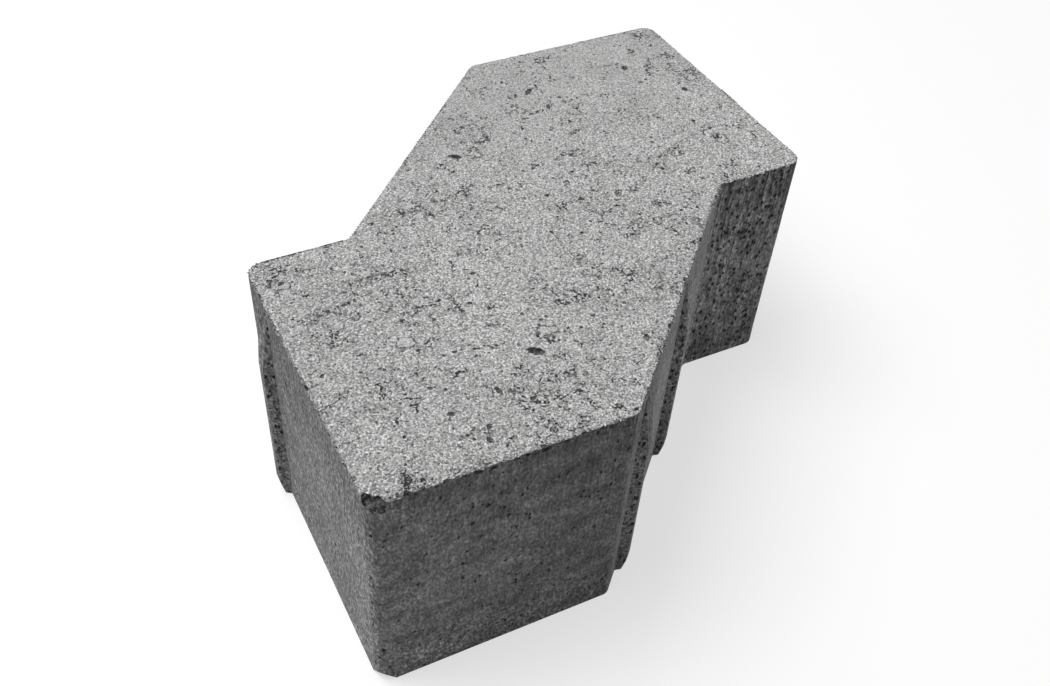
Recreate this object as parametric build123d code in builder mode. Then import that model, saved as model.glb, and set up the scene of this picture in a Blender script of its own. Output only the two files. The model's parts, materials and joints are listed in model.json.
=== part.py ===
from build123d import *
import os

os.makedirs("parts", exist_ok=True)

# Body of the stone: a Z in plan, made of level, upright and 45 degree sides.
# The second half of the outline is the first half turned by 180 degrees.
thickness = 80.0        # from the face it lies on to the worn face
end_face = 74.0         # straight end of each arm
flank_reach = 75.0      # how far a slanting flank goes across, and as far along
step_face = 32.0        # short ledge beside each inner corner
side_face = 96.0        # long outer side of each arm
corner_radius = 4.5     # rounding of the four square upright corners
slant_radius = 3.0      # rounding of the corners where an end meets a flank
inner_radius = 3.0      # rounding of the two inner upright corners

# Spacer ribs, which keep a sand joint open between laid stones.
rib_base = 8.0          # width on the face
rib_crest = 4.0         # width of the flat that touches the next stone
rib_height = 3.0        # how far it stands out
rib_root = 4.0          # how far it is rooted in the body
rib_foot_height = 1.8   # how far its foot stands out at the underside
rib_foot_rise = 5.0     # height of the sloping lower end
rib_top_drop = 6.0      # plain band between a rib and the worn face
rib_top_run = 9.0       # length of the upper end, which runs out into the face
rib_rounding = 1.2      # rounding around the crest
flank_rib_near = 13.0   # from the outer corner of a flank to its first rib
flank_rib_far = 63.0    # from the outer corner of a flank to its second rib
side_rib_place = 16.0   # from the ledge corner of the long side to its rib

flank_angle = 45.0
half_turn = 180.0
quarter_turn = 90.0
half_share = 0.5

half_width = (end_face + flank_reach + step_face) * half_share
half_depth = (side_face + flank_reach) * half_share

near_left = Vector(-half_width, -half_depth)
near_right = Vector(-half_width + end_face, -half_depth)
inner_right = near_right + Vector(flank_reach, flank_reach)
ledge_right = inner_right + Vector(step_face, 0)
first_half = [near_left, near_right, inner_right, ledge_right]
second_half = [-corner for corner in first_half]

# One rib, standing on the face y = 0 and pointing to +Y.
rib_top = thickness - rib_top_drop
half_base = rib_base * half_share
half_crest = rib_crest * half_share

with BuildPart() as spacer_rib:
    with BuildSketch():
        with BuildLine():
            Polyline(
                (-half_base, -rib_root),
                (half_base, -rib_root),
                (half_base, 0),
                (half_crest, rib_height),
                (-half_crest, rib_height),
                (-half_base, 0),
                close=True,
            )
        make_face()
    extrude(amount=rib_top)
    # The side view slopes both ends: short at the foot, long at the top.
    with BuildSketch(Plane.YZ):
        with BuildLine():
            Polyline(
                (-rib_root, 0),
                (rib_foot_height, 0),
                (rib_height, rib_foot_rise),
                (rib_height, rib_top - rib_top_run),
                (0, rib_top),
                (-rib_root, rib_top),
                close=True,
            )
        make_face()
    extrude(amount=half_base, both=True, mode=Mode.INTERSECT)
    crest_face = spacer_rib.faces().sort_by(Axis.Y)[-1]
    fillet(crest_face.edges(), radius=rib_rounding)

# Places of the ribs on one half: two on the flank, one on the long side.
flank_line = Vector(flank_reach, flank_reach).normalized()
flank_first = near_right + flank_line * flank_rib_near
flank_second = near_right + flank_line * flank_rib_far
side_first = Vector(-half_width, -inner_right.Y - side_rib_place)
rib_places = [
    (flank_first, -quarter_turn - flank_angle),
    (flank_second, -quarter_turn - flank_angle),
    (side_first, quarter_turn),
]
rib_locations = [Location(place, (0, 0, angle)) for place, angle in rib_places]
rib_locations += [Location(-place, (0, 0, angle + half_turn)) for place, angle in rib_places]

with BuildPart() as paving_stone:
    with BuildSketch() as outline:
        with BuildLine():
            Polyline(*first_half, *second_half, close=True)
        make_face()
        for spots, radius in (
            ([near_left, ledge_right], corner_radius),
            ([near_right], slant_radius),
            ([inner_right], inner_radius),
        ):
            both_halves = spots + [-spot for spot in spots]
            picked = [outline.vertices().sort_by_distance(spot)[0] for spot in both_halves]
            fillet(picked, radius=radius)
    extrude(amount=thickness)
    with Locations(*rib_locations):
        add(spacer_rib.part)

paving_stone.part.label = "paving_stone"
export_step(paving_stone.part, "parts/paving_stone.step")
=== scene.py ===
import json
import math
import random

import bmesh
import bpy
from mathutils import Matrix, Vector, geometry, kdtree

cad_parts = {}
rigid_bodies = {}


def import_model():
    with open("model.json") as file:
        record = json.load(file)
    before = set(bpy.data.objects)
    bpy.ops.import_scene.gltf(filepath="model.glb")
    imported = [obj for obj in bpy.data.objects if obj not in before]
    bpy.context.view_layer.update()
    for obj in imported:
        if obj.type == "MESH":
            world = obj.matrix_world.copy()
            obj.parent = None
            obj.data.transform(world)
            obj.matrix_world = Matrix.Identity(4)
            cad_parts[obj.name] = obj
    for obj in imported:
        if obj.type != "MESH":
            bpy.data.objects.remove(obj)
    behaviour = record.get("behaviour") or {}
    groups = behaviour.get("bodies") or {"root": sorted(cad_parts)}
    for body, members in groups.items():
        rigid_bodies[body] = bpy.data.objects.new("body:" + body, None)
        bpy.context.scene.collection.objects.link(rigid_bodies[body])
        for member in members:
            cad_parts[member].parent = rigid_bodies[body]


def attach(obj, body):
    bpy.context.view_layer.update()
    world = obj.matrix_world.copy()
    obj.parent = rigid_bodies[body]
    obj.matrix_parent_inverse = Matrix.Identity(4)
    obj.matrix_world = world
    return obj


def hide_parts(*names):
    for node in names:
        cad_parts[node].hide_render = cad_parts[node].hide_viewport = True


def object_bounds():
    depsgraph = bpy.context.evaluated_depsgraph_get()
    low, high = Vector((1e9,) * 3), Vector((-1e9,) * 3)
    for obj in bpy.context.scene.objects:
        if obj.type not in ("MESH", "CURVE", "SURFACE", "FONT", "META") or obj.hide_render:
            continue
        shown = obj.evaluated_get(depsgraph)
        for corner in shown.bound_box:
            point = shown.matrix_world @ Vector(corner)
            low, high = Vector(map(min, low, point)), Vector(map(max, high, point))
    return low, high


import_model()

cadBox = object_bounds()
tiny = 0.00002   # metres, points closer than this count as one
facing = 0.9   # a face looks along an axis when its normal does by more than this
print("frame loaded, box", [round(side, 4) for side in cadBox[1] - cadBox[0]])


def deselectAll():
    if bpy.context.mode != "OBJECT":
        bpy.ops.object.mode_set(mode="OBJECT")
    bpy.ops.object.select_all(action="DESELECT")


def makeActive(piece):
    deselectAll()
    piece.select_set(True)
    bpy.context.view_layer.objects.active = piece


def startEdit(piece, kind="VERT"):
    makeActive(piece)
    bpy.ops.object.mode_set(mode="EDIT")
    bpy.ops.mesh.select_mode(type=kind)


def pickWhere(piece, kind, test):
    bpy.ops.mesh.select_mode(type=kind)
    bpy.ops.mesh.select_all(action="DESELECT")
    editMesh = bmesh.from_edit_mesh(piece.data)
    pools = {"VERT": editMesh.verts, "EDGE": editMesh.edges, "FACE": editMesh.faces}
    found = 0
    for item in pools[kind]:
        if test(item):
            item.select = True
            found += 1
    editMesh.select_flush_mode()
    bmesh.update_edit_mesh(piece.data)
    return found


def pickAll():
    bpy.ops.mesh.select_all(action="SELECT")


def shift(*move):
    bpy.ops.transform.translate(value=move)


def extrude(*move):
    bpy.ops.mesh.extrude_region_move(TRANSFORM_OT_translate={"value": move})


def applyAll(piece):
    makeActive(piece)
    for modifier in list(piece.modifiers):
        bpy.ops.object.modifier_apply(modifier=modifier.name)


def joinAll(pieces, name):
    deselectAll()
    for piece in pieces:
        piece.select_set(True)
    bpy.context.view_layer.objects.active = pieces[0]
    bpy.ops.object.join()
    joined = bpy.context.active_object
    joined.name = name
    return joined


# node helpers: sockets or plain numbers go in, a socket comes out
def feed(tree, socket, value):
    if isinstance(value, bpy.types.NodeSocket):
        tree.links.new(value, socket)
    else:
        socket.default_value = value


def calc(tree, operation, *terms, clamp=False):
    node = tree.nodes.new("ShaderNodeMath")
    node.operation = operation
    node.use_clamp = clamp
    for socket, value in zip(node.inputs, terms):
        feed(tree, socket, value)
    return node.outputs[0]


def times(tree, first, second):
    return calc(tree, "MULTIPLY", first, second)


def ease(tree, value, fromLow, fromHigh, toLow=0.0, toHigh=1.0):
    node = tree.nodes.new("ShaderNodeMapRange")
    node.interpolation_type = "SMOOTHSTEP"
    for socket, number in zip(node.inputs, (value, fromLow, fromHigh, toLow, toHigh)):
        feed(tree, socket, number)
    return node.outputs[0]


# the colours of a mix node go by number, because the names of its sockets repeat
def shadeColor(tree, color, shade):
    node = tree.nodes.new("ShaderNodeMix")
    node.data_type = "RGBA"
    node.blend_type = "MULTIPLY"
    feed(tree, node.inputs["Factor"], 1.0)
    feed(tree, node.inputs[6], color)
    feed(tree, node.inputs[7], shade)
    return node.outputs[2]


# a share below one draws a pattern out upwards
def stretch(tree, place, upShare):
    node = tree.nodes.new("ShaderNodeMapping")
    feed(tree, node.inputs["Vector"], place)
    node.inputs["Scale"].default_value = (1.0, 1.0, upShare)
    return node.outputs[0]


def splitUp(tree, kind, value):
    node = tree.nodes.new(kind)
    feed(tree, node.inputs[0], value)
    return node.outputs


# spreads a value evenly about zero
def centre(tree, value, contrast, middle=0.5):
    return calc(tree, "MULTIPLY_ADD", value, contrast, -contrast * middle)


def noiseAt(tree, place, scale, detail=2.0, roughness=0.5, output="Fac"):
    node = tree.nodes.new("ShaderNodeTexNoise")
    feed(tree, node.inputs["Vector"], place)
    feed(tree, node.inputs["Scale"], scale)
    node.inputs["Detail"].default_value = detail
    node.inputs["Roughness"].default_value = roughness
    return node.outputs[output]


def cellsAt(tree, place, scale, feature="F1"):
    node = tree.nodes.new("ShaderNodeTexVoronoi")
    node.feature = feature
    feed(tree, node.inputs["Vector"], place)
    feed(tree, node.inputs["Scale"], scale)
    return node


# each group reads a place and some numbers, and gives values
def startGroup(name, numbers, values):
    group = bpy.data.node_groups.new(name, "ShaderNodeTree")
    sockets = [("Place", "INPUT", "NodeSocketVector")]
    sockets += [(label, "INPUT", "NodeSocketFloat") for label in numbers]
    sockets += [(label, "OUTPUT", "NodeSocketFloat") for label in values]
    for label, way, kind in sockets:
        group.interface.new_socket(name=label, in_out=way, socket_type=kind)
    source = group.nodes.new("NodeGroupInput")
    sink = group.nodes.new("NodeGroupOutput")
    return group, source.outputs, sink.inputs


def useGroup(tree, group, **values):
    node = tree.nodes.new("ShaderNodeGroup")
    node.node_tree = group
    for label, value in values.items():
        feed(tree, node.inputs[label], value)
    return node.outputs


# moves a place about at random, so that cells lose their straight edges
def wobbleAt(tree, place, scale, reach):
    moved = noiseAt(tree, place, scale, output="Color")
    steps = [("SUBTRACT", 1, (0.5, 0.5, 0.5)), ("SCALE", "Scale", reach), ("ADD", 1, place)]
    for operation, label, term in steps:
        node = tree.nodes.new("ShaderNodeVectorMath")
        node.operation = operation
        feed(tree, node.inputs[0], moved)
        feed(tree, node.inputs[label], term)
        moved = node.outputs[0]
    return moved


# scales of a group are against the scale that it is given
grainPlan = {
    "pasteScale": 0.9, "pasteRoughness": 0.6, "pasteContrast": 2.4,
    "grainContrast": 0.8,
    "domeReach": 0.8, "domeRise": 0.6, "grainRise": 0.5,
}


# sand grains of uneven brightness in cement paste, the tone is around zero
def makeSandGrain():
    plan = grainPlan
    group, given, result = startGroup("sandGrain", ["Scale"], ["Tone", "Height"])
    place, scale = given["Place"], given["Scale"]
    cells = cellsAt(group, place, scale)
    chance = splitUp(group, "ShaderNodeSeparateColor", cells.outputs["Color"])
    pasteScale = times(group, scale, plan["pasteScale"])
    paste = noiseAt(group, place, pasteScale, roughness=plan["pasteRoughness"])
    pasteTone = centre(group, paste, plan["pasteContrast"])
    grain = calc(group, "SUBTRACT", chance[0], 0.5)
    tone = calc(group, "MULTIPLY_ADD", grain, plan["grainContrast"], pasteTone)
    dome = calc(group, "SUBTRACT", plan["domeReach"], cells.outputs["Distance"])
    dome = times(group, dome, plan["domeRise"])
    rise = calc(group, "MULTIPLY_ADD", chance[1], plan["grainRise"], dome)
    feed(group, result["Tone"], tone)
    feed(group, result["Height"], calc(group, "ADD", rise, paste))
    return group


holePlan = {
    "wobbleScale": 2.2, "wobbleReach": 1.1,
    "leastRadius": 0.4,   # added to a chance from zero to one
    "edge": (1.0, 0.65),
}


# small holes left by the mould and by lost grains, uneven in outline
def makeCastPits():
    plan = holePlan
    group, given, result = startGroup("castPits", ["Scale", "Size", "Share"], ["Mask"])
    scale = given["Scale"]
    fine = times(group, scale, plan["wobbleScale"])
    reach = calc(group, "DIVIDE", plan["wobbleReach"], scale)
    cells = cellsAt(group, wobbleAt(group, given["Place"], fine, reach), scale)
    chance = splitUp(group, "ShaderNodeSeparateColor", cells.outputs["Color"])
    present = calc(group, "LESS_THAN", chance[0], given["Share"])
    radius = calc(group, "ADD", chance[1], plan["leastRadius"])
    radius = times(group, given["Size"], radius)
    hole = ease(group, calc(group, "DIVIDE", cells.outputs["Distance"], radius), *plan["edge"])
    feed(group, result["Mask"], times(group, hole, present))
    return group


seamPlan = {
    "wobbleScale": 2.5, "wobbleReach": 0.9,
    "fullWidth": 0.6,   # a line is full within this share of its width
    "gapScale": 1.3, "gapSoftness": 0.06,
    "crumbScale": 10.0, "crumbEdge": (0.46, 0.52),
}


# broken seams around patches that stand a little higher, crevices that the finish darkens as
# painted shade
def makeSeams():
    plan = seamPlan
    group, given, result = startGroup("seams", ["Scale", "Width", "Level"], ["Mask"])
    place, scale, width, level = list(given)[:4]

    def noiseBy(name):
        return noiseAt(group, place, times(group, scale, plan[name]), detail=1.0)

    fine = times(group, scale, plan["wobbleScale"])
    reach = calc(group, "DIVIDE", plan["wobbleReach"], scale)
    cells = cellsAt(group, wobbleAt(group, place, fine, reach), scale, "DISTANCE_TO_EDGE")
    full = times(group, width, plan["fullWidth"])
    line = ease(group, cells.outputs["Distance"], width, full)
    softened = calc(group, "ADD", level, plan["gapSoftness"])
    kept = ease(group, noiseBy("gapScale"), level, softened)
    dotted = ease(group, noiseBy("crumbScale"), *plan["crumbEdge"])
    broken = times(group, line, kept)
    feed(group, result["Mask"], times(group, broken, dotted))
    return group


dragPlan = {
    "wideUp": 0.05, "wideRoughness": 0.6,
    "thinUp": 0.16, "thinScale": 1.9,
    "contrast": 1.6,
}


# upright lines dragged by the mould as the stone was pushed out, the tone is around zero
def makeDragLines():
    plan = dragPlan
    group, given, result = startGroup("dragLines", ["Scale"], ["Tone"])
    place, scale = given["Place"], given["Scale"]
    long, short = stretch(group, place, plan["wideUp"]), stretch(group, place, plan["thinUp"])
    wide = noiseAt(group, long, scale, 1.0, plan["wideRoughness"])
    thin = noiseAt(group, short, times(group, scale, plan["thinScale"]), 1.0)
    both = calc(group, "ADD", wide, thin)
    feed(group, result["Tone"], centre(group, both, plan["contrast"], 1.0))
    return group


mottlePlan = {"detail": 3.0, "roughness": 0.55, "contrast": 2.0}


# slow patches of paler and darker paste, the tone is around zero
def makeCloudMottle():
    plan = mottlePlan
    group, given, result = startGroup("cloudMottle", ["Scale"], ["Tone"])
    slow = noiseAt(group, given["Place"], given["Scale"], plan["detail"], plan["roughness"])
    feed(group, result["Tone"], centre(group, slow, plan["contrast"]))
    return group


sandGrain = makeSandGrain()
castPits = makeCastPits()
seams = makeSeams()
dragLines = makeDragLines()
cloudMottle = makeCloudMottle()
print("finish groups made")


def grey(level, warmth=0.0):
    return (level * (1 + warmth), level, level * (1 - warmth), 1.0)


dullShine = 0.25   # dry concrete mirrors less than the usual half


def startFinish(name, roughness):
    material = bpy.data.materials.new(name)
    material.use_nodes = True
    tree = material.node_tree
    shader = tree.nodes["Principled BSDF"]
    shader.inputs["Roughness"].default_value = roughness
    shader.inputs["Specular IOR Level"].default_value = dullShine
    place = tree.nodes.new("ShaderNodeTexCoord").outputs["Object"]
    return material, tree, shader, place


def addBump(tree, shader, height, distance):
    bump = tree.nodes.new("ShaderNodeBump")
    bump.inputs["Distance"].default_value = distance
    feed(tree, bump.inputs["Height"], height)
    feed(tree, shader.inputs["Normal"], bump.outputs[0])


# paste of one grey, made paler or darker by a tone around zero, with holes darkened as painted
# shade
def tintPaste(tree, shader, base, tone, holes, paintedHoleShade):
    shade = calc(tree, "POWER", math.e, tone)
    darkened = calc(tree, "MULTIPLY_ADD", holes, paintedHoleShade - 1.0, 1.0)
    shade = times(tree, shade, darkened)
    feed(tree, shader.inputs["Base Color"], shadeColor(tree, base, shade))


def weighTones(tree, *pairs):
    total = 0.0
    for tone, share in pairs:
        total = calc(tree, "MULTIPLY_ADD", tone, share, total)
    return total


def holesAt(tree, place, scale, size, share):
    return useGroup(tree, castPits, Place=place, Scale=scale, Size=size, Share=share)["Mask"]


# pairs for zones: the part that grows with coarseness, the part everywhere
sandyTop = {
    "paste": grey(0.550, 0.004),
    # the hole grey below is painted shade that darkens seams, specks and rings as shadowed
    # crevices
    "paintedHoleShade": 0.10, "holeRise": -1.4,
    "fineScale": 1950.0, "fineShare": 1.40, "fineRise": 1.0,
    "coarseScale": 760.0, "coarseShare": 0.17, "coarseRise": 0.8,
    "grainDark": 1.05, "grainPale": 0.78,
    "calmReach": (0.010, 0.075), "calmEnd": 0.60,   # metres along, the far end is calmer
    # painted light: the worn face turns paler towards the right, as the light falls on it
    "paler": 0.6,   # tone for each metre to the right
    "zoneScale": 46.0, "zoneShare": 0.16, "zoneEdge": (0.15, -0.35),
    "pebbleScale": 165.0, "pebbleSize": 0.34, "pebbleZones": (0.30, 0.05),
    "pebbleGlow": 0.22, "pebbleRise": 0.8, "pebbleSand": -0.65,
    "ringSize": 0.50, "ringCrumbs": (0.49, 0.55),
    "seamScale": 120.0, "seamWidth": 0.050, "seamZones": (-0.11, 0.59),
    "speckScale": 1150.0, "speckSize": 0.46, "speckZones": (0.22, 0.04),
    "fainter": 0.8,   # specks and rings against seams
    "roughness": 0.93,
    "bumpDistance": 0.0005,
}


def makeSandyTop():
    plan = sandyTop
    material, tree, shader, place = startFinish("sandyTop", plan["roughness"])
    x, y = splitUp(tree, "ShaderNodeSeparateXYZ", place)[:2]
    zone = useGroup(tree, cloudMottle, Place=place, Scale=plan["zoneScale"])["Tone"]
    fine = useGroup(tree, sandGrain, Place=place, Scale=plan["fineScale"])
    coarse = useGroup(tree, sandGrain, Place=place, Scale=plan["coarseScale"])
    # pebbles, seams and specks gather in the coarser zones, less so at the far end
    calm = ease(tree, y, *plan["calmReach"], 1.0, plan["calmEnd"])
    coarser = times(tree, ease(tree, zone, *plan["zoneEdge"]), calm)

    def byZone(name):
        return calc(tree, "MULTIPLY_ADD", coarser, *plan[name])

    often = byZone("pebbleZones")
    pebbles = holesAt(tree, place, plan["pebbleScale"], plan["pebbleSize"], often)
    around = holesAt(tree, place, plan["pebbleScale"], plan["ringSize"], often)
    crumbs = ease(tree, noiseAt(tree, place, plan["speckScale"], 1.0), *plan["ringCrumbs"])
    rings = times(tree, calc(tree, "SUBTRACT", around, pebbles, clamp=True), crumbs)
    sand = weighTones(
        tree, (fine["Tone"], plan["fineShare"]), (coarse["Tone"], plan["coarseShare"])
    )
    # grains stand out more by shade than by shine, and less at the far end and on pebbles
    shine = calc(tree, "MAXIMUM", sand, 0.0)
    paleGain = plan["grainPale"] - plan["grainDark"]
    sand = weighTones(tree, (sand, plan["grainDark"]), (shine, paleGain))
    bare = calc(tree, "MULTIPLY_ADD", pebbles, plan["pebbleSand"], 1.0)
    sand = times(tree, sand, times(tree, calm, bare))
    # the tone holds mottle, pebbles and sand, and a slope of painted light, paler towards the
    # right
    tone = weighTones(
        tree, (zone, plan["zoneShare"]), (pebbles, plan["pebbleGlow"]),
        (sand, 1.0), (x, plan["paler"]),
    )
    holes = useGroup(
        tree, seams, Place=place, Scale=plan["seamScale"],
        Width=plan["seamWidth"], Level=byZone("seamZones"),
    )["Mask"]
    specks = holesAt(tree, place, plan["speckScale"], plan["speckSize"], byZone("speckZones"))
    for faint in (specks, rings):
        holes = calc(tree, "MAXIMUM", holes, times(tree, faint, plan["fainter"]))
    tintPaste(tree, shader, plan["paste"], tone, holes, plan["paintedHoleShade"])
    relief = weighTones(
        tree, (coarse["Height"], plan["coarseRise"]), (fine["Height"], plan["fineRise"]),
        (pebbles, plan["pebbleRise"]), (holes, plan["holeRise"]),
    )
    addBump(tree, shader, relief, plan["bumpDistance"])
    return material


# rows of four are for the straight ends, long sides, ledges and flanks
draggedSide = {
    # painted light and shade: one concrete, darker than the worn face and given its own grey on
    # each kind of face for how light falls on it
    "paste": (0.314, 0.364, 0.345, 0.430),
    # the hole grey below is painted shade that darkens the small pits as shadowed hollows
    "paintedHoleShade": 0.07,
    "grainScale": 1550.0, "grainShare": (0.90, 1.22, 1.05, 1.00),
    "grainUp": 0.62, "grainRise": 0.6,
    "coarseScale": 620.0, "coarseShare": (0.18, 0.24, 0.22, 0.18),
    "lineScale": 620.0, "lineShare": (0.42, 0.44, 1.00, 0.55), "lineRise": 2.0,
    "cloudScale": 85.0, "cloudShare": (0.85, 0.36, 0.75, 0.30), "cloudUp": 2.2,
    "pitScale": 780.0, "pitShare": (0.065, 0.050, 0.46, 0.06),
    "pitUp": 0.75, "pitSize": 0.46, "pitRise": -1.5,
    # where a mask begins and where it is full, in metres
    "endEdge": (0.0838, 0.0850),
    "longEdge": (0.0880, 0.0897),
    "ledgeAcross": (0.0585, 0.0605), "ledgeAlong": (0.0130, 0.0112),
    "flankEdge": (0.0660, 0.0680),
    "topBand": (0.045, 0.076), "footBand": (0.022, 0.004),
    "endFade": (0.085, 0.015), "longFade": (0.075, 0.010), "flankFade": (0.058, 0.080),
    # tone where a mask is full, the four last are painted shade
    "topTone": -0.17, "endPaintedShade": -0.32, "longPaintedShade": -0.20, "flankPaintedShade": -0.40, "ledgePaintedShade": -0.18,
    # gain that a mask adds, and gain without it
    "topLines": (0.8, 0.6), "footGrain": (0.5, 1.0), "cloudPits": (-1.6, 1.0),
    "roughness": 0.88,
    "bumpDistance": 0.00045,
}


def makeDraggedSide():
    plan = draggedSide
    material, tree, shader, place = startFinish("draggedSide", plan["roughness"])
    x, y, z = splitUp(tree, "ShaderNodeSeparateXYZ", place)
    across, along = calc(tree, "ABSOLUTE", x), calc(tree, "ABSOLUTE", y)
    slant = calc(tree, "ABSOLUTE", calc(tree, "SUBTRACT", x, y))

    def mask(value, name):
        return ease(tree, value, *plan[name])

    def gain(value, name):
        return calc(tree, "MULTIPLY_ADD", value, *plan[name])

    def both(first, second):
        return times(tree, first, second)

    ends = mask(along, "endEdge")
    longs = mask(across, "longEdge")
    ledges = both(mask(across, "ledgeAcross"), mask(along, "ledgeAlong"))
    ledges = calc(tree, "SUBTRACT", ledges, longs, clamp=True)
    straight = calc(tree, "MAXIMUM", calc(tree, "MAXIMUM", ends, longs), ledges)
    flanks = calc(tree, "SUBTRACT", mask(slant, "flankEdge"), straight, clamp=True)
    kinds = (ends, longs, ledges, flanks)

    def byKind(name):
        return weighTones(tree, *zip(kinds, plan[name]))

    nearTop, nearFoot = mask(z, "topBand"), mask(z, "footBand")
    dragged = stretch(tree, place, plan["grainUp"])
    fine = useGroup(tree, sandGrain, Place=dragged, Scale=plan["grainScale"])
    coarse = useGroup(tree, sandGrain, Place=dragged, Scale=plan["coarseScale"])
    lines = useGroup(tree, dragLines, Place=place, Scale=plan["lineScale"])["Tone"]
    layered = stretch(tree, place, plan["cloudUp"])
    cloud = useGroup(tree, cloudMottle, Place=layered, Scale=plan["cloudScale"])["Tone"]
    lineGain = both(byKind("lineShare"), gain(nearTop, "topLines"))
    rough = gain(both(nearFoot, ends), "footGrain")
    grainGain = both(byKind("grainShare"), rough)
    coarseGain = both(byKind("coarseShare"), rough)
    # painted shade: ends darken towards the flank, long sides towards the ledge, flanks towards
    # the end and ledges at the foot; every side also darkens towards the top
    fades = [
        (nearTop, plan["topTone"]),
        (both(ends, mask(across, "endFade")), plan["endPaintedShade"]),
        (both(longs, mask(along, "longFade")), plan["longPaintedShade"]),
        (both(flanks, mask(along, "flankFade")), plan["flankPaintedShade"]),
        (both(ledges, nearFoot), plan["ledgePaintedShade"]),
    ]
    tone = weighTones(
        tree, (fine["Tone"], grainGain), (coarse["Tone"], coarseGain), (lines, lineGain),
        (cloud, byKind("cloudShare")), *fades,
    )
    share = both(byKind("pitShare"), gain(cloud, "cloudPits"))
    tall = stretch(tree, place, plan["pitUp"])
    pits = holesAt(tree, tall, plan["pitScale"], plan["pitSize"], share)
    tintPaste(tree, shader, byKind("paste"), tone, pits, plan["paintedHoleShade"])
    relief = weighTones(
        tree, (lines, both(lineGain, plan["lineRise"])), (fine["Height"], plan["grainRise"]),
        (coarse["Height"], coarseGain), (pits, plan["pitRise"]),
    )
    addBump(tree, shader, relief, plan["bumpDistance"])
    return material


# rib flanks: pitted, and painted darker as shade along the rib
pittedShadedFlank = {
    "paste": grey(0.30),
    "paintedHoleShade": 0.05,
    "grainScale": 1200.0, "grainShare": 1.20,
    "pitScale": 780.0, "pitShare": 0.62,
    "pitUp": 0.6, "pitSize": 0.42, "pitRise": -1.6,
    "roughness": 0.92,
    "bumpDistance": 0.0006,
}
# inside the pits and the chipped corner: broken concrete painted near black as shade in the
# hollows
shadedBrokenInside = {
    "paste": grey(0.13),
    "paintedHoleShade": 0.15,
    "grainScale": 1100.0, "grainShare": 1.50,
    "pitScale": 600.0, "pitShare": 0.3,
    "pitUp": 1.0, "pitSize": 0.42, "pitRise": 0.0,
    "roughness": 0.95,
    "bumpDistance": 0.0006,
}


def makePitted(name, plan):
    material, tree, shader, place = startFinish(name, plan["roughness"])
    fine = useGroup(tree, sandGrain, Place=place, Scale=plan["grainScale"])
    tone = times(tree, fine["Tone"], plan["grainShare"])
    tall = stretch(tree, place, plan["pitUp"])
    pits = holesAt(tree, tall, plan["pitScale"], plan["pitSize"], plan["pitShare"])
    tintPaste(tree, shader, plan["paste"], tone, pits, plan["paintedHoleShade"])
    relief = weighTones(tree, (fine["Height"], 1.0), (pits, plan["pitRise"]))
    addBump(tree, shader, relief, plan["bumpDistance"])
    return material


finishes = [
    makeDraggedSide(), makeSandyTop(),
    makePitted("pittedShadedFlank", pittedShadedFlank), makePitted("shadedBrokenInside", shadedBrokenInside),
]
sideSlot, topSlot, flankSlot, shadedBrokenSlot = range(4)
print("finishes made:", [material.name for material in finishes])


def giveFinishes(piece, slotIndex):
    piece.data.materials.clear()
    for material in finishes:
        piece.data.materials.append(material)
    for face in piece.data.polygons:
        face.material_index = slotIndex


# faces turn outwards and take the finish of the sides
def closeEdit(piece):
    pickAll()
    bpy.ops.mesh.normals_make_consistent(inside=False)
    deselectAll()
    giveFinishes(piece, sideSlot)


stoneShape = {
    "thickness": 0.080,
    "endFace": 0.074,   # straight end of each arm
    "flankReach": 0.075,   # a slanting flank goes this far across and as far along
    "stepFace": 0.032,   # short ledge beside each inner corner
    "sideFace": 0.096,   # long outer side of each arm
    "cornerRadius": 0.0045,   # the four square corners
    "slantRadius": 0.003,   # where an end meets a flank
    "innerRadius": 0.003,
    "cornerSegments": 6,
    "flankAngle": 45,
    "flatAngle": 1,   # corners that turn by less are taken out
}
halfWidth = (stoneShape["endFace"] + stoneShape["flankReach"] + stoneShape["stepFace"]) / 2
halfDepth = (stoneShape["sideFace"] + stoneShape["flankReach"]) / 2
topLevel = stoneShape["thickness"]
nearLeft = Vector((-halfWidth, -halfDepth))
nearRight = nearLeft + Vector((stoneShape["endFace"], 0))
innerRight = nearRight + Vector((stoneShape["flankReach"], stoneShape["flankReach"]))
ledgeRight = innerRight + Vector((stoneShape["stepFace"], 0))
corners = [nearLeft, nearRight, innerRight, ledgeRight]
corners += [-corner for corner in corners]
sides = list(zip(corners, corners[1:] + corners[:1]))


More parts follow.
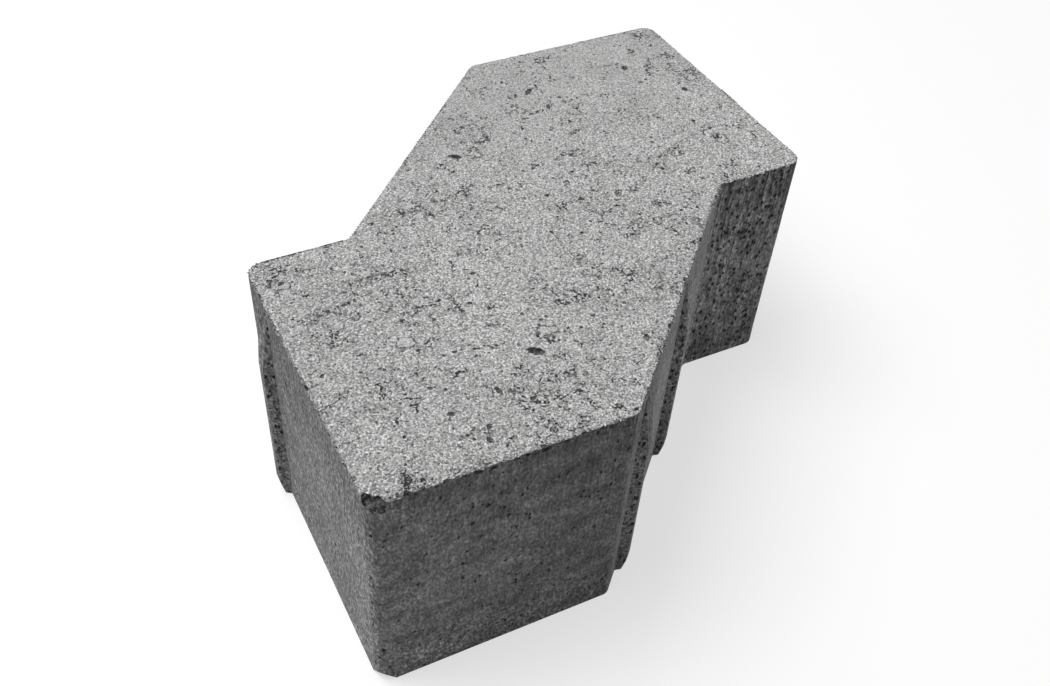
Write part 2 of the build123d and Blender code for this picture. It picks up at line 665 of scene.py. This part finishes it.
def makeBody():
    shape = stoneShape
    deselectAll()
    bpy.ops.mesh.primitive_plane_add(size=1)
    body = bpy.context.active_object
    body.name = "pavingStone"
    startEdit(body)
    pickAll()
    bpy.ops.transform.resize(value=(shape["stepFace"], shape["sideFace"], 1))
    shift(shape["stepFace"] / 2 - halfWidth, shape["sideFace"] / 2 - halfDepth, 0)
    # strips from left to right: reach, rise of the near point, rise of the far point
    rise = shape["endFace"] - shape["stepFace"]
    rest = shape["flankReach"] - rise
    strips = [(rise, 0, rise), (rest, rest, rest), (rise, rise, 0), (shape["stepFace"], 0, 0)]
    rightEnd = shape["stepFace"] - halfWidth
    for reach, nearRise, farRise in strips:
        pickWhere(body, "VERT", lambda p: p.co.x > rightEnd - tiny)
        extrude(reach, 0, 0)
        rightEnd += reach
        ends = [p.co.y for p in bmesh.from_edit_mesh(body.data).verts if p.co.x > rightEnd - tiny]
        middle = sum(ends) / len(ends)
        pickWhere(body, "VERT", lambda p: p.co.x > rightEnd - tiny and p.co.y < middle)
        shift(0, nearRise, 0)
        pickWhere(body, "VERT", lambda p: p.co.x > rightEnd - tiny and p.co.y > middle + nearRise)
        shift(0, farRise, 0)
    pickAll()
    bpy.ops.mesh.dissolve_limited(angle_limit=math.radians(shape["flatAngle"]))
    slantTurn = math.tan(math.radians(shape["flankAngle"] / 2))
    roundings = [
        ((0, 3, 4, 7), shape["cornerRadius"]),
        ((1, 5), shape["slantRadius"] * slantTurn),
        ((2, 6), shape["innerRadius"] * slantTurn),
    ]
    for picked, offset in roundings:
        spots = [corners[index] for index in picked]
        pickWhere(body, "VERT", lambda p: any((p.co.xy - spot).length < tiny for spot in spots))
        bpy.ops.mesh.bevel(offset=offset, segments=shape["cornerSegments"], affect="VERTICES")
    pickAll()
    extrude(0, 0, shape["thickness"])
    closeEdit(body)
    return body


ribShape = {
    "base": 0.008,
    "crest": 0.004,
    "height": 0.003,
    "root": 0.004,
    "footHeight": 0.0018,   # how far the foot stands out at the underside
    "footRise": 0.005,   # height of the sloping lower end
    "topDrop": 0.003,   # plain band below the worn face
    "topRun": 0.022,   # the upper end runs out into the face over this length
    "rounding": 0.0012, "roundSegments": 4,
    "flankLean": 0.5,   # a flank looks sideways by more than this
    "flankPlaces": (0.013, 0.063),   # from the outer corner of a slanting side
    "sidePlace": 0.016,   # from the ledge corner of the long side
    "flankTurn": -135, "sideTurn": 90,
}


def makeRib():
    shape = ribShape
    length = topLevel - shape["topDrop"]
    deselectAll()
    bpy.ops.mesh.primitive_cube_add(size=1)
    rib = bpy.context.active_object
    rib.name = "spacerRib"
    startEdit(rib)
    pickAll()
    bpy.ops.transform.resize(value=(shape["base"], shape["root"], length))
    shift(0, -shape["root"] / 2, length / 2)
    pickWhere(rib, "FACE", lambda face: face.normal.y > facing)
    extrude(0, shape["height"], 0)
    crestShare = shape["crest"] / shape["base"]
    bpy.ops.transform.resize(value=(crestShare, 1, 1), center_override=(0, 0, 0))
    outer = shape["height"] - tiny
    pickWhere(rib, "VERT", lambda p: p.co.y > outer and p.co.z > length / 2)
    shift(0, 0, -shape["topRun"])
    # the foot is cut off on a slope, so its upper line is sliced in first
    pickAll()
    bpy.ops.mesh.bisect(plane_co=(0, 0, shape["footRise"]), plane_no=(0, 0, 1))
    pickWhere(rib, "VERT", lambda p: p.co.y > outer and p.co.z < tiny)
    footShare = shape["footHeight"] / shape["height"]
    footWidth = shape["base"] + (shape["crest"] - shape["base"]) * footShare
    shift(0, shape["footHeight"] - shape["height"], 0)
    bpy.ops.transform.resize(value=(footWidth / shape["crest"], 1, 1), center_override=(0, 0, 0))
    pickWhere(rib, "EDGE", lambda edge: all(p.co.y > outer for p in edge.verts))
    segments = shape["roundSegments"]
    bpy.ops.mesh.bevel(offset=shape["rounding"], segments=segments, affect="EDGES")
    closeEdit(rib)
    for face in rib.data.polygons:
        if abs(face.normal.x) > shape["flankLean"] and face.center.y > 0:
            face.material_index = flankSlot
    return rib


flankLine = (innerRight - nearRight).normalized()
ribPlaces = [
    (nearRight + flankLine * far, ribShape["flankTurn"]) for far in ribShape["flankPlaces"]
]
sideSpot = Vector((-halfWidth, -innerRight.y - ribShape["sidePlace"]))
ribPlaces.append((sideSpot, ribShape["sideTurn"]))
ribPlaces += [(-spot, angle + 180) for spot, angle in ribPlaces]
ribSpots = [spot for spot, angle in ribPlaces]


def makeRibs():
    first = makeRib()
    ribs = [first]
    for _ in ribPlaces[1:]:
        makeActive(first)
        bpy.ops.object.duplicate()
        ribs.append(bpy.context.active_object)
    for rib, (spot, angle) in zip(ribs, ribPlaces):
        rib.location = (spot.x, spot.y, 0)
        rib.rotation_euler.z = math.radians(angle)
        makeActive(rib)
        bpy.ops.object.transform_apply(location=True, rotation=True, scale=True)
    return joinAll(ribs, "spacerRibs")


def cutBy(piece, tool, operation):
    boolean = piece.modifiers.new("shape", "BOOLEAN")
    boolean.operation = operation
    boolean.solver = "MANIFOLD"
    boolean.object = tool
    applyAll(piece)
    bpy.data.objects.remove(tool)


meshPlan = {
    "step": 0.0009,   # grid on the worn face and columns on the sides
    "rowStep": 0.005,   # rows on the sides
    "rimRows": (0.0740, 0.0765, 0.0785, 0.0795),
    "rimBand": 0.0018,   # the grid is finer this far from the top edge
    "rimCuts": 2,
    "sliver": 0.00001,   # shorter edges are taken out
}


def sliceAcross(axis, spots):
    direction = Vector((0, 0, 0))
    direction[axis] = 1
    for spot in spots:
        pickAll()
        bpy.ops.mesh.bisect(plane_co=direction * spot, plane_no=direction, threshold=tiny)


def spread(low, high, step):
    return [low + step * (index + 0.5) for index in range(int((high - low) / step))]


def refineMesh(stone):
    plan = meshPlan
    startEdit(stone, "FACE")
    sliceAcross(2, spread(0, plan["rimRows"][0], plan["rowStep"]))
    sliceAcross(2, plan["rimRows"])
    sliceAcross(0, spread(-halfWidth, halfWidth, plan["step"]))
    sliceAcross(1, spread(-halfDepth, halfDepth, plan["step"]))
    # the underside stays one flat face
    pickWhere(
        stone, "FACE",
        lambda face: face.normal.z < -facing and face.calc_center_median().z < tiny,
    )
    bpy.ops.mesh.dissolve_faces()
    pickAll()
    bpy.ops.mesh.dissolve_degenerate(threshold=plan["sliver"])
    deselectAll()
    for face in stone.data.polygons:
        if face.normal.z > facing and face.center.z > topLevel - tiny:
            face.material_index = topSlot


def rimTree(stone):
    rim = set()
    mesh = bmesh.new()
    mesh.from_mesh(stone.data)
    for edge in mesh.edges:
        slots = {face.material_index for face in edge.link_faces}
        high = min(point.co.z for point in edge.verts) > topLevel - tiny
        if high and topSlot in slots and len(slots) > 1:
            rim.update(tuple(point.co) for point in edge.verts)
    mesh.free()
    tree = kdtree.KDTree(len(rim))
    for index, spot in enumerate(sorted(rim)):
        tree.insert(spot, index)
    tree.balance()
    return tree


def refineRim(stone):
    tree = rimTree(stone)
    band = meshPlan["rimBand"]
    startEdit(stone, "FACE")
    count = pickWhere(stone, "FACE", lambda face: tree.find(face.calc_center_median())[2] < band)
    bpy.ops.mesh.subdivide(number_cuts=meshPlan["rimCuts"], quadcorner="INNERVERT")
    deselectAll()
    print("rim faces divided:", count)


pitPlan = {
    "seed": 41,
    # pits on the worn face: place across and along, half length, half width, turn
    "named": [
        (-0.0300, -0.0543, 0.0026, 0.0014, 142), (-0.0122, 0.0364, 0.0022, 0.0011, 132),
        (0.0665, 0.0627, 0.0017, 0.0011, 60), (-0.0455, -0.0634, 0.0017, 0.0007, 101),
        (-0.0551, -0.0779, 0.0011, 0.0008, 98), (0.0000, -0.0617, 0.0014, 0.0008, 61),
        (0.0275, 0.0621, 0.0021, 0.0010, 46), (-0.0602, -0.0660, 0.0012, 0.0008, 156),
        (-0.0531, -0.0737, 0.0010, 0.0007, 47), (0.0787, 0.0422, 0.0013, 0.0010, 95),
        (-0.0386, -0.0694, 0.0010, 0.0006, 20), (-0.0751, -0.0172, 0.0009, 0.0007, 70),
        (-0.0831, -0.0009, 0.0011, 0.0006, 30), (0.0293, 0.0509, 0.0016, 0.0007, 68),
        (0.0052, 0.0062, 0.0009, 0.0007, 15),
    ],
    "namedDepth": 0.9,   # against the half width
    "runCount": 42,   # runs of small pits in short arcs
    "runReach": (0.0025, 0.0060),
    "runRadius": (0.00030, 0.00060),
    "runPits": (3, 8), "runSteps": 6,
    "runStart": (-0.6, 2.2), "runSweep": (0.9, 2.4),   # radians
    "runSway": (-0.08, 0.08), "runFar": (0.9, 1.1),
    "looseCount": 70,
    "looseRadius": (0.00030, 0.00070),
    "dropLong": (1, 1.7), "dropMargin": 0.003,
    # on the sides, in the order of the outline from the chipped corner
    "sideCounts": (16, 5, 46, 10, 16, 5, 40, 10),
    "sideRadius": (0.00028, 0.00095), "sideKinds": (0.7, 1.0),
    "sideTall": (1.0, 1.5), "sideMargin": 0.006, "levelMargin": 0.003, "ribRoom": 0.007,
    # bites out of the edge of the worn face, in the same order
    "rimCounts": (32, 24, 12, 3, 2, 2, 2, 14),
    "rimRadius": (0.00040, 0.00110),
    "rimLong": (1.0, 1.9), "rimTall": (0.7, 1.1), "rimTilt": (-0.3, 0.3),
    "rimMargin": 0.005, "rimDrop": 0.0006, "rimBelow": (-0.2, 0.9),
    "ribCount": 13,   # on each flank of each rib
    "ribRadius": (0.00028, 0.00055), "ribTall": (1.0, 1.8),
    "ribLevels": (0.005, 0.064), "ribOut": (0.0008, 0.0022), "ribStart": 0.010,
    # how far a ball's middle stands off the surface, against its least radius
    "namedOff": 0.15, "dropOff": (0.0, 0.35), "sideOff": 0.2, "rimOff": 0.3, "ribOff": 0.1,
    "turns": (0, 6),   # radians about the vertical
    "rayStart": 0.02,   # rays to the sides start this far out
    "room": 1.3,   # a pit keeps clear of others by this times its radius
    "tries": 6,   # for each pit that is asked for
}
# balls that cut: fineness, roughness, place in the noise, size of the lumps
ballPlan = {
    "big": [(3, 0.7, 3.1, 0.7), (3, 0.7, 4.1, 0.7)],
    "small": [(1, 0.5, 9.3, 0.7), (1, 0.5, 10.3, 0.7), (1, 0.5, 11.3, 0.7)],
    "ragged": (4, 0.8, 5.7, 0.35),
    "rubbed": (5, 0.02, 2.2, 0.7),
}
# near corner: how far a ball's middle lies outside both sides, its level, radii and turn
chipPlan = {
    "upper": (0.0004, 0.0808, (0.0052, 0.0052, 0.0060), 0.4),
    "lower": (0.0213, -0.0213, (0.0400, 0.0400, 0.0400), 0),
    "trailCount": 6,   # small pits below the break
    "trailRadius": (0.0003, 0.0007),
    "trailDrop": 0.008, "trailHeight": (0.0, 0.012),
    "trailSide": (-0.002, 0.008), "trailStart": 0.01, "trailSlide": 0.006, "trailOff": 0.2,
}


def makeBall(fineness, rough, seedShift, lumpScale):
    deselectAll()
    bpy.ops.mesh.primitive_ico_sphere_add(subdivisions=fineness, radius=1)
    ball = bpy.context.active_object
    texture = bpy.data.textures.new("lumps", "CLOUDS")
    texture.noise_scale = lumpScale
    shifter = bpy.data.objects.new("lumpPlace", None)
    bpy.context.scene.collection.objects.link(shifter)
    shifter.location = (seedShift, 2 * seedShift, 0)
    lumps = ball.modifiers.new("lumps", "DISPLACE")
    lumps.texture = texture
    lumps.texture_coords = "OBJECT"
    lumps.texture_coords_object = shifter
    lumps.strength = rough
    lumps.mid_level = 0.5
    applyAll(ball)
    bpy.data.objects.remove(shifter)
    bpy.data.textures.remove(texture)
    # cut faces take the near-black painted shade of the hollows
    giveFinishes(ball, shadedBrokenSlot)
    return ball


def copyBall(ball, spot, radii, turn):
    makeActive(ball)
    bpy.ops.object.duplicate()
    copy = bpy.context.active_object
    copy.location = spot
    copy.rotation_euler = turn
    copy.scale = radii
    return copy


def insideOutline(spot, margin):
    turns = 0
    for first, second in sides:
        share = geometry.intersect_point_line(spot, first, second)[1]
        nearest = first.lerp(second, min(1, max(0, share)))
        if (nearest - spot).length < margin:
            return False
        if (first.y > spot.y) != (second.y > spot.y):
            reach = (spot.y - first.y) / (second.y - first.y)
            turns += first.x + reach * (second.x - first.x) > spot.x
    return turns % 2 == 1


def makePits(stone):
    plan = pitPlan
    draw = random.Random(plan["seed"])
    big = [makeBall(*kind) for kind in ballPlan["big"]]
    small = [makeBall(*kind) for kind in ballPlan["small"]]
    taken = []
    copies = []
    bpy.context.view_layer.update()

    def place(ball, spot, radii, turn):
        reach = max(radii) * plan["room"]
        if any((spot - other).length < reach + far for other, far in taken):
            return False
        taken.append((spot, reach))
        copies.append(copyBall(ball, spot, radii, turn))
        return True

    # three balls take turns, with the middle a little off the surface that a ray meets
    def sink(pool, start, direction, radii, share, turn=(0, 0, 0)):
        hit, spot = stone.ray_cast(start, direction)[:2]
        ball = pool[len(copies) % 3]
        return hit and place(ball, spot - direction * min(radii) * share, radii, turn)

    # crowded places take fewer than asked
    def repeat(count, attempt):
        done = 0
        for _ in range(plan["tries"] * count):
            if done < count:
                done += bool(attempt())

    def wearCorner(ball, reach, level, radii, turn):
        big.append(ball)
        spot = Vector((nearLeft.x - reach, nearLeft.y - reach, level))
        place(ball, spot, radii, (0, 0, turn))

    wearCorner(makeBall(*ballPlan["ragged"]), *chipPlan["upper"])
    # the lower corner is rubbed away, so it keeps the finish of the sides
    rubbed = makeBall(*ballPlan["rubbed"])
    giveFinishes(rubbed, sideSlot)
    wearCorner(rubbed, *chipPlan["lower"])
    intoCorner = Vector((1, 1, 0)).normalized()
    out, slide = chipPlan["trailStart"], chipPlan["trailSlide"]
    for _ in range(chipPlan["trailCount"]):
        radius = draw.uniform(*chipPlan["trailRadius"])
        level = topLevel - chipPlan["trailDrop"] - draw.uniform(*chipPlan["trailHeight"])
        side = draw.uniform(*chipPlan["trailSide"])
        start = Vector((nearLeft.x - out + side, nearLeft.y - out - side + slide, level))
        sink(small, start, intoCorner, (radius,) * 3, chipPlan["trailOff"])

    down = Vector((0, 0, -1))
    above = 2 * topLevel
    for x, y, long, short, turn in plan["named"]:
        radii = (long, short, short * plan["namedDepth"])
        turned = (0, 0, math.radians(turn))
        sink(big, Vector((x, y, above)), down, radii, plan["namedOff"], turned)

    def dropPit(spot, radius):
        radii = (radius * draw.uniform(*plan["dropLong"]), radius, radius)
        share, turn = draw.uniform(*plan["dropOff"]), draw.uniform(*plan["turns"])
        if not insideOutline(spot, plan["dropMargin"]):
            return False
        return sink(small, Vector((spot.x, spot.y, above)), down, radii, share, (0, 0, turn))

    def anySpot():
        return Vector((draw.uniform(-halfWidth, halfWidth), draw.uniform(-halfDepth, halfDepth)))

    for _ in range(plan["runCount"]):
        middle, reach = anySpot(), draw.uniform(*plan["runReach"])
        start, sweep = draw.uniform(*plan["runStart"]), draw.uniform(*plan["runSweep"])
        for step in range(draw.randint(*plan["runPits"])):
            angle = start + sweep * step / plan["runSteps"] + draw.uniform(*plan["runSway"])
            far = reach * draw.uniform(*plan["runFar"])
            spot = middle + Vector((math.cos(angle), math.sin(angle))) * far
            dropPit(spot, draw.uniform(*plan["runRadius"]))
    repeat(plan["looseCount"], lambda: dropPit(anySpot(), draw.uniform(*plan["looseRadius"])))
    onTop = len(copies)
    for (first, second), sideCount, rimCount in zip(sides, plan["sideCounts"], plan["rimCounts"]):
        length = (second - first).length
        along = (second - first).normalized()
        inward = Vector((-along.y, along.x, 0))

        def anyPoint(margin):
            return first + along * draw.uniform(margin, length - margin)

        def pitSide():
            radius = draw.uniform(*plan["sideRadius"]) * draw.choice(plan["sideKinds"])
            flat = anyPoint(plan["sideMargin"])
            level = draw.uniform(plan["levelMargin"], topLevel - plan["levelMargin"])
            tall, turn = draw.uniform(*plan["sideTall"]), draw.uniform(*plan["turns"])
            if any((flat - rib).length < plan["ribRoom"] for rib in ribSpots):
                return False
            start = Vector((flat.x, flat.y, level)) - inward * plan["rayStart"]
            radii = (radius, radius, radius * tall)
            return sink(small, start, inward, radii, plan["sideOff"], (0, 0, turn))

        def biteRim():
            radius = draw.uniform(*plan["rimRadius"])
            flat = anyPoint(plan["rimMargin"])
            level = topLevel - plan["rimDrop"] - radius * draw.uniform(*plan["rimBelow"])
            start = Vector((flat.x, flat.y, level)) - inward * plan["rayStart"]
            long, tall = draw.uniform(*plan["rimLong"]), draw.uniform(*plan["rimTall"])
            tilts = draw.uniform(*plan["rimTilt"]), draw.uniform(*plan["rimTilt"])
            turn = (*tilts, math.atan2(along.y, along.x))
            radii = (radius * long, radius, radius * tall)
            return sink(small, start, inward, radii, plan["rimOff"], turn)

        repeat(sideCount, pitSide)
        repeat(rimCount, biteRim)
    for spot, angle in ribPlaces:
        turn = math.radians(angle)
        sideways = Vector((math.cos(turn), math.sin(turn), 0))
        outward = Vector((-math.sin(turn), math.cos(turn), 0))
        for side in (-1, 1):

            def pitRib():
                radius = draw.uniform(*plan["ribRadius"])
                start = Vector((spot.x, spot.y, draw.uniform(*plan["ribLevels"])))
                start = start + sideways * side * plan["ribStart"]
                start = start + outward * draw.uniform(*plan["ribOut"])
                radii = (radius, radius, radius * draw.uniform(*plan["ribTall"]))
                return sink(small, start, sideways * -side, radii, plan["ribOff"])

            repeat(plan["ribCount"], pitRib)
    for ball in big + small:
        bpy.data.objects.remove(ball)
    print("pits and bites:", onTop, "on the worn face,", len(copies) - onTop, "elsewhere")
    return joinAll(copies, "pitTools")


reliefPlan = {
    # name, points, size of the noise, depth, level that stays in place, stretch upwards, ramp
    "layers": [
        ("slowWaves", "body", 0.026, 0.0004, 0.7, 1, None),
        ("dragGrooves", "sides", 0.0014, 0.00018, 0.7, 24, None),
        ("sandRelief", "wornFace", 0.0016, 0.00035, 0.85, 1, None),
        ("rimCrumble", "rim", 0.0012, 0.0006, 1.0, 1, (0.40, 0.66)),
    ],
    "rimReach": 0.0015, "farRimShare": 0.35,
    "noiseDepth": 3,
    # where relief begins and how far on it is full, above the floor and away from a rib
    "footBand": (0.001, 0.005), "ribBand": (0.006, 0.008),
    # the rims past these lines are the more worn ones
    "wornEnd": -0.084, "wornSide": -0.0895, "wornFlank": 0.0675,
    "smoothAngle": 38,
}


def grow(value, start, length):
    return min(1.0, max(0.0, (value - start) / length))


def weighPoints(stone):
    plan = reliefPlan
    tree = rimTree(stone)
    names = ("body", "wornFace", "rim", "sides")
    groups = {name: stone.vertex_groups.new(name=name) for name in names}
    wornPoints = set()
    for face in stone.data.polygons:
        if face.material_index == topSlot:
            wornPoints.update(face.vertices)
    for point in stone.data.vertices:
        x, y, z = point.co
        far = tree.find(point.co)[2]
        near = max(0.0, 1.0 - far / plan["rimReach"])
        rib = min((point.co.xy - spot).length for spot in ribSpots)
        rise = grow(z, *plan["footBand"]) * grow(rib, *plan["ribBand"])
        groups["body"].add([point.index], rise, "REPLACE")
        onFlank = x - y > plan["wornFlank"] and y < 0
        worn = y < plan["wornEnd"] or x < plan["wornSide"] or onFlank
        crumbled = near * near * (3 - 2 * near) * (1.0 if worn else plan["farRimShare"])
        groups["rim"].add([point.index], crumbled, "REPLACE")
        if point.index in wornPoints:
            groups["wornFace"].add([point.index], 1.0, "REPLACE")
        else:
            groups["sides"].add([point.index], rise * (1 - near), "REPLACE")


def addRelief(stone, name, group, scale, depth, level, tall, ramp):
    texture = bpy.data.textures.new(name, "CLOUDS")
    texture.noise_scale = 1.0
    texture.noise_depth = reliefPlan["noiseDepth"]
    if ramp:
        texture.use_color_ramp = True
        low, high = texture.color_ramp.elements
        low.position, high.position = ramp
        low.color, high.color = (1, 1, 1, 1), (0, 0, 0, 1)
    guide = bpy.data.objects.new(name + "Guide", None)
    bpy.context.scene.collection.objects.link(guide)
    guide.scale = (scale, scale, scale * tall)
    bpy.context.view_layer.update()
    relief = stone.modifiers.new(name, "DISPLACE")
    relief.texture = texture
    relief.texture_coords = "OBJECT"
    relief.texture_coords_object = guide
    relief.vertex_group = group
    relief.mid_level = level
    relief.strength = depth
    applyAll(stone)
    bpy.data.objects.remove(guide)
    bpy.data.textures.remove(texture)


# takes away bits that a cut leaves loose and holes that never reach the surface
def dropCrumbs(stone):
    startEdit(stone)
    lowest = min(stone.data.vertices, key=lambda point: (point.co.z, point.co.x)).index
    pickWhere(stone, "VERT", lambda point: point.index == lowest)
    bpy.ops.mesh.select_linked()
    bpy.ops.mesh.select_all(action="INVERT")
    bpy.ops.mesh.delete(type="VERT")
    deselectAll()


def makeStone():
    stone = makeBody()
    print("body points:", len(stone.data.vertices))
    cutBy(stone, makeRibs(), "UNION")
    print("with ribs:", len(stone.data.polygons), "faces")
    refineMesh(stone)
    refineRim(stone)
    print("refined:", len(stone.data.polygons), "faces")
    weighPoints(stone)
    for layer in reliefPlan["layers"]:
        addRelief(stone, *layer)
    stone.vertex_groups.clear()
    low, high = cadBox
    for point in stone.data.vertices:
        kept = zip(low, point.co, high)
        point.co = [min(most, max(least, value)) for least, value, most in kept]
    print("relief done")
    cutBy(stone, makePits(stone), "DIFFERENCE")
    dropCrumbs(stone)
    print("pitted:", len(stone.data.polygons), "faces")
    makeActive(stone)
    bpy.ops.object.shade_smooth_by_angle(angle=math.radians(reliefPlan["smoothAngle"]))
    deselectAll()
    mesh = bmesh.new()
    mesh.from_mesh(stone.data)
    openEdges = sum(1 for edge in mesh.edges if len(edge.link_faces) != 2)
    triangles = sum(len(face.verts) - 2 for face in mesh.faces)
    mesh.free()
    print("stone done:", triangles, "triangles,", openEdges, "edges without two faces")
    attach(stone, "root")
    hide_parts("paving_stone")


makeStone()

floorPlan = {
    "size": 12.0,
    "bounce": grey(0.44),   # what the floor gives back to the stone
    "glow": 0.62,
    "shadowCatch": grey(0.46),
    "nearReach": (0.30, 0.75),   # metres from the middle, plain white beyond
}


def seenDirectly(tree):
    path = tree.nodes.new("ShaderNodeLightPath")
    seen = calc(tree, "MAXIMUM", path.outputs["Is Camera Ray"], path.outputs["Is Glossy Ray"])
    return calc(tree, "MAXIMUM", seen, path.outputs["Is Transmission Ray"])


def makeFloor():
    plan = floorPlan
    deselectAll()
    bpy.ops.mesh.primitive_plane_add(size=plan["size"])
    floor = bpy.context.active_object
    floor.name = "floor"
    material = bpy.data.materials.new("paleFloor")
    material.use_nodes = True
    tree = material.node_tree
    tree.nodes.clear()

    def addShader(kind, *sources, **values):
        node = tree.nodes.new("ShaderNode" + kind)
        for socket, source in zip(node.inputs, sources):
            feed(tree, socket, source)
        for label, value in values.items():
            feed(tree, node.inputs[label], value)
        return node.outputs[0]

    away = tree.nodes.new("ShaderNodeVectorMath")
    away.operation = "LENGTH"
    feed(tree, away.inputs[0], tree.nodes.new("ShaderNodeTexCoord").outputs["Object"])
    distant = ease(tree, away.outputs["Value"], *plan["nearReach"])
    dull = addShader("BsdfDiffuse", Color=plan["bounce"])
    catch = addShader("BsdfDiffuse", Color=plan["shadowCatch"])
    glow = addShader("Emission", Strength=plan["glow"])
    white = addShader("Emission")
    near = addShader("AddShader", catch, glow)
    shown = addShader("MixShader", distant, near, white)
    final = addShader("MixShader", seenDirectly(tree), dull, shown)
    output = tree.nodes.new("ShaderNodeOutputMaterial")
    feed(tree, output.inputs["Surface"], final)
    floor.data.materials.append(material)


lampPlan = {
    "ambient": 0.19,
    # direction to the lamp, distance, width, watts
    "key": ((-0.33, 0.27, 0.90), 1.3, 0.9, 14.5),
    "fill": ((0.92, -0.18, 0.35), 1.4, 0.8, 1.9),
}


def makeLight():
    scene = bpy.context.scene
    world = bpy.data.worlds.new("studio")
    scene.world = world
    world.use_nodes = True
    tree = world.node_tree
    sky = tree.nodes["Background"]
    sky.inputs["Color"].default_value = (1, 1, 1, 1)
    strength = calc(tree, "MAXIMUM", seenDirectly(tree), lampPlan["ambient"])
    feed(tree, sky.inputs["Strength"], strength)
    aim = Vector((0, 0, topLevel / 2))
    for name in ("key", "fill"):
        direction, distance, width, watts = lampPlan[name]
        lamp = bpy.data.lights.new(name, "AREA")
        lamp.size = width
        lamp.energy = watts
        holder = bpy.data.objects.new(name, lamp)
        scene.collection.objects.link(holder)
        away = Vector(direction).normalized()
        holder.location = aim + away * distance
        holder.rotation_euler = away.to_track_quat("Z", "Y").to_euler()


cameraPlan = {
    "eye": (-0.141989, -0.242935, 0.289123),
    "right": (0.903016, -0.428926, 0.024192),
    "down": (-0.292178, -0.654453, -0.697369),
    "lens": 38.891, "sensor": 36,   # millimetres
    "shift": (0.04375, 0.04408),
    "clipStart": 0.01,
}


def makeCamera():
    plan = cameraPlan
    data = bpy.data.cameras.new("camera")
    data.lens = plan["lens"]
    data.sensor_width = plan["sensor"]
    data.shift_x, data.shift_y = plan["shift"]
    data.clip_start = plan["clipStart"]
    camera = bpy.data.objects.new("camera", data)
    bpy.context.scene.collection.objects.link(camera)
    right = Vector(plan["right"]).normalized()
    up = -Vector(plan["down"]).normalized()
    back = right.cross(up)
    turn = Matrix((right, up, back)).transposed()
    camera.rotation_euler = turn.to_euler()
    camera.location = plan["eye"]
    bpy.context.scene.camera = camera


makeFloor()
makeLight()
makeCamera()
bpy.context.scene.view_settings.view_transform = "Standard"
print("floor, light and camera made")
